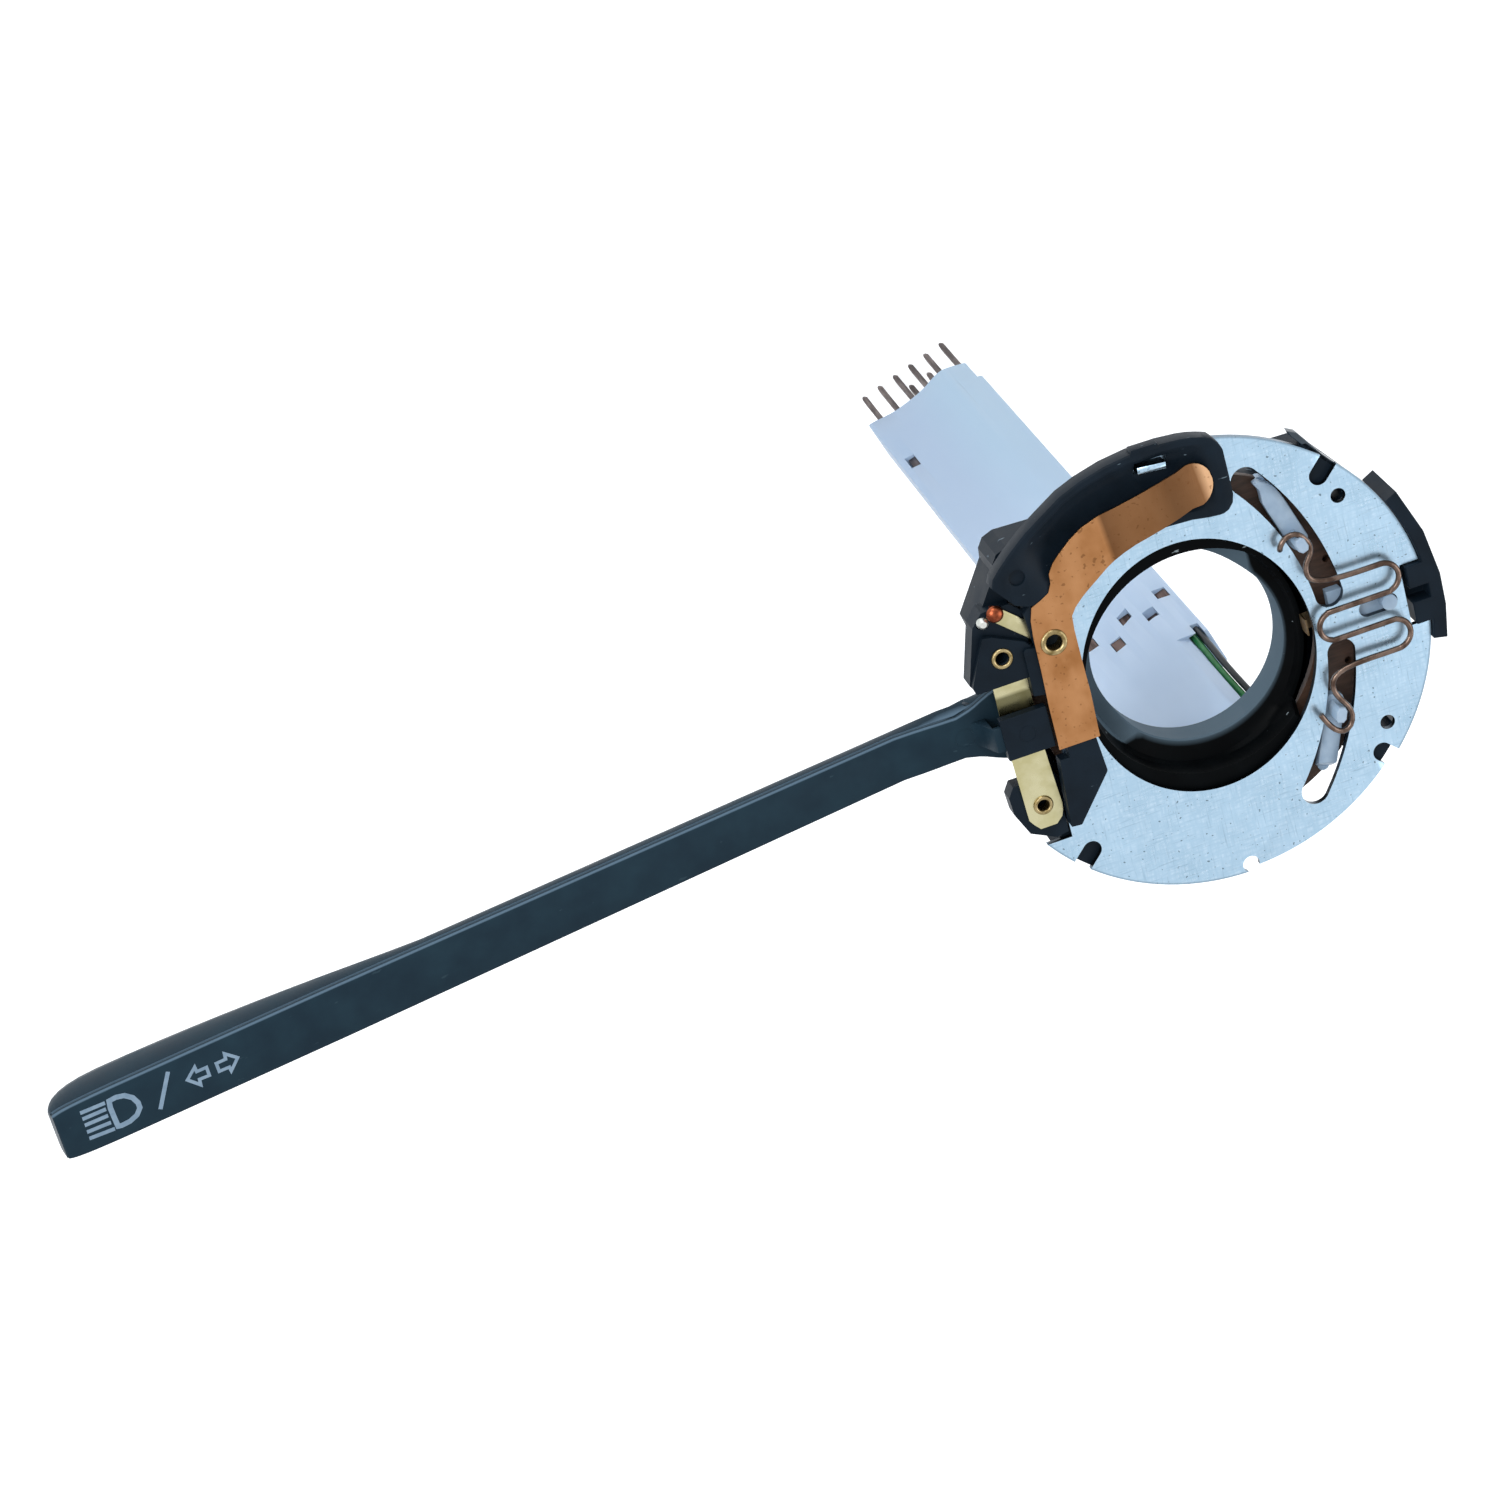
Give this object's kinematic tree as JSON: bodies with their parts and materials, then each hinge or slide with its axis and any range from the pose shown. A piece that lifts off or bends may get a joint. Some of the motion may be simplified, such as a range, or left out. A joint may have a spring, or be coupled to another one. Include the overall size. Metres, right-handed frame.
{
  "type": "indicator stalk switch",
  "caption": "Column-mounted indicator stalk switch: slotted steel plate, black housing and sleeve, sprung cancelling pawls, horn and flash contacts, long white plug with blades.",
  "frame": {"origin": "on the steering column's axis, in the front face of the steel plate, at the centre of the plate's large hole", "axes": "+Z along the column towards the driver, -X along the stalk, +Y up the plate towards the horn arm"},
  "size_m": [0.262, 0.0884, 0.2614],
  "materials": {
    "zinc_steel": "satin, zinc plated",
    "black_plastic": "satin",
    "phenolic": "matt",
    "copper": "satin, copper coloured",
    "brass": "satin",
    "silver": "satin",
    "white_nylon": "satin",
    "spring_wire": "satin",
    "steel_pin": "satin",
    "tinned_blade": "satin",
    "black_lead": "satin",
    "green_lead": "satin"
  },
  "bodies": {
    "switch_base": {"base_plate": "zinc_steel", "housing": "black_plastic", "column_sleeve": "black_plastic", "contact_board": "phenolic", "board_studs": "brass", "guide_shoe": "black_plastic", "horn_arm": "black_plastic", "horn_strip": "copper", "horn_eyelet": "brass", "end_block": "black_plastic", "leaf_cover": "black_plastic", "cover_eyelet": "brass", "leaf_spring": "brass", "leaf_eyelet": "brass", "flash_stud": "brass", "contact_bar": "brass", "contact_rivet": "copper", "silver_contact": "silver", "turn_pivot_pin": "steel_pin", "detent_spring": "steel_pin", "plug_body": "white_nylon", "plug_blades": "tinned_blade", "short_blades": "tinned_blade", "lead_black": "black_lead", "lead_green": "green_lead"},
    "turn_carrier": {"carrier": "phenolic", "wiper_contact": "brass", "lever_bracket": "black_plastic", "pull_pin": "steel_pin", "cancelling_spring": "spring_wire"},
    "lever": {"stalk": "black_plastic", "lever_nose": "black_plastic"},
    "upper_pawl": {"pawl_upper": "white_nylon"},
    "lower_pawl": {"pawl_lower": "white_nylon"},
    "slider": {"cancel_slider": "white_nylon"},
    "ball": {"detent_ball": "steel_pin"}
  },
  "joints": [
    {"name": "turn", "type": "hinge", "parent": "switch_base", "child": "turn_carrier", "pos_m": [-0.0264, 0, -0.0044], "axis": [0, 0, 1], "range_deg": [-11, 11]},
    {"name": "pull", "type": "hinge", "parent": "turn_carrier", "child": "lever", "pos_m": [-0.042, 0, -0.0066], "axis": [0, 1, 0], "range_deg": [0, 5], "stiffness_Nm_per_rad": 2, "deforming": ["leaf_spring"]},
    {"name": "upper_pawl_swing", "type": "hinge", "parent": "turn_carrier", "child": "upper_pawl", "pos_m": [0.01813, 0.02892, -0.0025], "axis": [0, 0, 1], "range_deg": [-2, 2], "stiffness_Nm_per_rad": 0.002},
    {"name": "lower_pawl_swing", "type": "hinge", "parent": "turn_carrier", "child": "lower_pawl", "pos_m": [0.01813, -0.02892, -0.0025], "axis": [0, 0, 1], "range_deg": [-2, 2], "stiffness_Nm_per_rad": 0.002},
    {"name": "cancel_slide", "type": "slide", "parent": "switch_base", "child": "slider", "axis": [1, 0, 0], "range_m": [-0.004, 0], "stiffness_N_per_m": 50},
    {"name": "detent_press", "type": "slide", "parent": "switch_base", "child": "ball", "axis": [0, 0, 1], "range_m": [-0.0006, 0], "stiffness_N_per_m": 300, "deforming": ["detent_spring"]}
  ]
}
